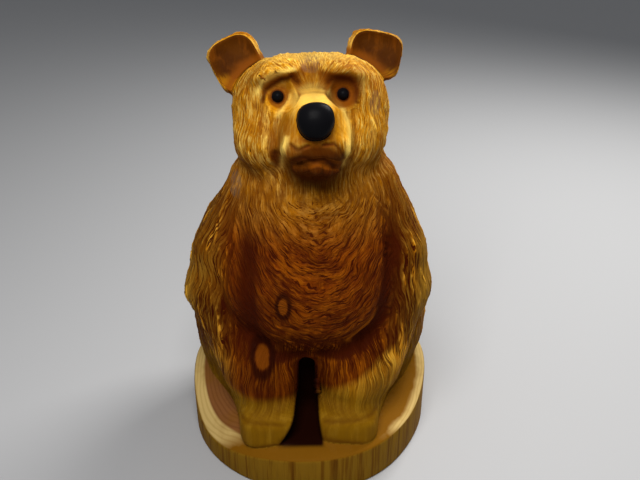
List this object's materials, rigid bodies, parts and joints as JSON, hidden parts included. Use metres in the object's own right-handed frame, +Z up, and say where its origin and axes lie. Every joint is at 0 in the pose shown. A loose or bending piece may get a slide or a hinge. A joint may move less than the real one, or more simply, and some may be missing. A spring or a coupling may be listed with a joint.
{
  "type": "chainsaw carved bear",
  "caption": "Sitting bear and its round log base carved from one upright log, with a saw cut between the forelegs, small ears and a black painted nose.",
  "frame": {"origin": "centre of the log base's sawn underside", "axes": "+Z up the log towards the ears, -Y the way the bear faces, +X the bear's left"},
  "size_m": [0.2992, 0.2971, 0.4889],
  "materials": {
    "oiled_wood": "satin"
  },
  "bodies": {
    "root": {"carved_bear": "oiled_wood"}
  },
  "joints": []
}
